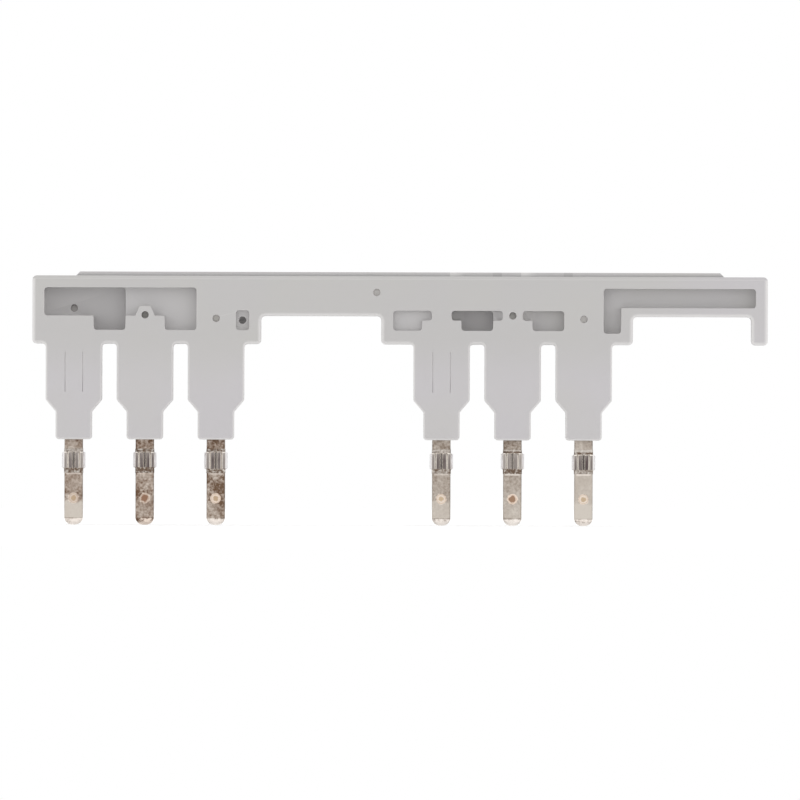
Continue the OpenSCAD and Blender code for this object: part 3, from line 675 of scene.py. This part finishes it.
silvering = plated_spring_sheet()
for node, x, film, bend_rise in zip(SLEEVE_NODES, PIN_X, SLEEVE_FILM_AND_SHADE, BEND_RISE):
    shape = merged_copy(node)
    outer_edges = []
    inner_edges = []
    for edge in shape.edges:
        start, end = (vert.co for vert in edge.verts)
        middle = (start + end) / 2
        upright = abs(start.z - end.z) > UPRIGHT_SHARE * edge.calc_length()
        outward = any(
            face.normal.x * (middle.x - x) + face.normal.y * middle.y > OUTER_FACE_R
            for face in edge.link_faces
        )
        if upright and outward and edge.is_convex and edge.calc_face_angle() > SLAT_EDGE_ANGLE:
            narrow = abs(middle.x - x) < INNER_SLATS_X
            (inner_edges if narrow else outer_edges).append(edge)
    soften(shape, inner_edges, INNER_SLAT_EDGE_R)
    outer_edges = [edge for edge in outer_edges if edge.is_valid]
    soften(shape, outer_edges, OUTER_SLAT_EDGE_R)
    on_sleeve = shape.verts.layers.float_vector.new("on_sleeve")
    film_cover = shape.verts.layers.float_vector.new("film_cover")
    bend_film = shape.verts.layers.float.new("bend_film")
    for vert in shape.verts:
        vert[on_sleeve] = (vert.co.x - x, vert.co.y, vert.co.z)
        vert[film_cover] = film[:3]
        vert[bend_film] = film[3]
        vert.co.z = settled(vert.co.z, *bend_rise)
    sleeve = as_piece(shape, f"plated_{node}", silvering)
    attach(sleeve, "root")
    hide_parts(node)


# Table
# A matt white sheet under the tips of the pins. To the camera it is as white as the backdrop and
# keeps the soft shadow of the object, and in polished metal it is plain white.

TABLE_R = 600 * MM
TABLE_SIDES = 96
TABLE_GAP = 0.01 * MM
TABLE_LIFT = 0.15
PAPER_WHITE = linear("#F9F9F9")
WHITE = linear("#FFFFFF")

shape = bmesh.new()
bmesh.ops.create_circle(shape, cap_ends=True, segments=TABLE_SIDES, radius=TABLE_R)
bmesh.ops.translate(shape, verts=shape.verts, vec=(0, 0, TIP_Z - TABLE_GAP))
white_sheet = bpy.data.materials.new("matt white paper")
white_sheet.use_nodes = True
tree = white_sheet.node_tree
tree.nodes.clear()
rays = add(tree, "LightPath").outputs
mirrored = add(tree, "Math", {
    0: rays["Is Glossy Ray"], 1: rays["Is Transmission Ray"],
}, operation="MAXIMUM")
lift = add(tree, "Math", {0: rays["Is Camera Ray"], 1: TABLE_LIFT}, operation="MULTIPLY")
paper = add(tree, "BsdfDiffuse", {"Color": PAPER_WHITE})
glow = add(tree, "Emission", {"Color": WHITE, "Strength": lift})
sheet = add(tree, "AddShader", {0: paper, 1: glow})
plain = add(tree, "Emission", {"Color": WHITE, "Strength": 1})
add(tree, "OutputMaterial", {"Surface": add(tree, "MixShader", {0: mirrored, 1: sheet, 2: plain})})
table = as_piece(shape, "table", white_sheet)


# Light
# A white light tent, lit from outside: a little brighter behind the link and straight in front of it,
# and dimmer overhead. To the camera, and in polished metal, it is plain white.

FRONT_LEVEL = 1.05
BACK_LEVEL = 1.25
FRONT_TO_BACK = (-0.4, 0.5)
STRAIGHT_AHEAD = (-0.5, -1)
AHEAD_LEVEL = 0.1
OVERHEAD = (0.1, 0.8)
OVERHEAD_SHARE = 0.8

world = bpy.data.worlds.new("light tent")
bpy.context.scene.world = world
world.use_nodes = True
tree = world.node_tree
tree.nodes.clear()
rays = add(tree, "LightPath").outputs
seen = add(tree, "Math", {0: rays["Is Camera Ray"], 1: rays["Is Glossy Ray"]}, operation="MAXIMUM")
shown = add(tree, "Math", {0: seen, 1: rays["Is Transmission Ray"]}, operation="MAXIMUM")
direction = add(tree, "SeparateXYZ", {0: add(tree, "TexCoord").outputs["Generated"]}).outputs
around = add(tree, "MapRange", {
    "Value": direction["Y"], "From Min": FRONT_TO_BACK[0], "From Max": FRONT_TO_BACK[1],
    "To Min": FRONT_LEVEL, "To Max": BACK_LEVEL,
})
ahead = add(tree, "MapRange", {
    "Value": direction["Y"], "From Min": STRAIGHT_AHEAD[0], "From Max": STRAIGHT_AHEAD[1],
    "To Max": AHEAD_LEVEL,
})
tent_walls = add(tree, "Math", {0: around, 1: ahead}, operation="ADD")
overhead = add(tree, "MapRange", {
    "Value": direction["Z"], "From Min": OVERHEAD[0], "From Max": OVERHEAD[1],
    "To Min": 1, "To Max": OVERHEAD_SHARE,
})
tent = add(tree, "Math", {0: tent_walls, 1: overhead}, operation="MULTIPLY")
strength = add(tree, "Mix", {"Factor": shown, "A": tent, "B": 1})
add(tree, "OutputWorld", {"Surface": add(tree, "Background", {"Color": WHITE, "Strength": strength})})
bpy.context.scene.view_settings.view_transform = "Standard"


# Camera
# A long lens straight in front of the link, far enough away to show no perspective to speak of, and
# turned by a sixth of a degree, as the real one was. Its lens and sensor are given in mm.

VIEW_WIDTH = 97.89 * MM
VIEW_X = 8.72 * MM
VIEW_Z = 4.91 * MM
LENS = 1500
SENSOR = 36
ROLL = math.radians(-0.167)

lens = bpy.data.cameras.new("camera")
lens.lens = LENS
lens.sensor_width = SENSOR
camera = bpy.data.objects.new("camera", lens)
bpy.context.scene.collection.objects.link(camera)
camera.location = (VIEW_X, HOUSING_FRONT_Y - VIEW_WIDTH * LENS / SENSOR, VIEW_Z)
camera.rotation_euler = (math.radians(90), ROLL, 0)
bpy.context.scene.camera = camera
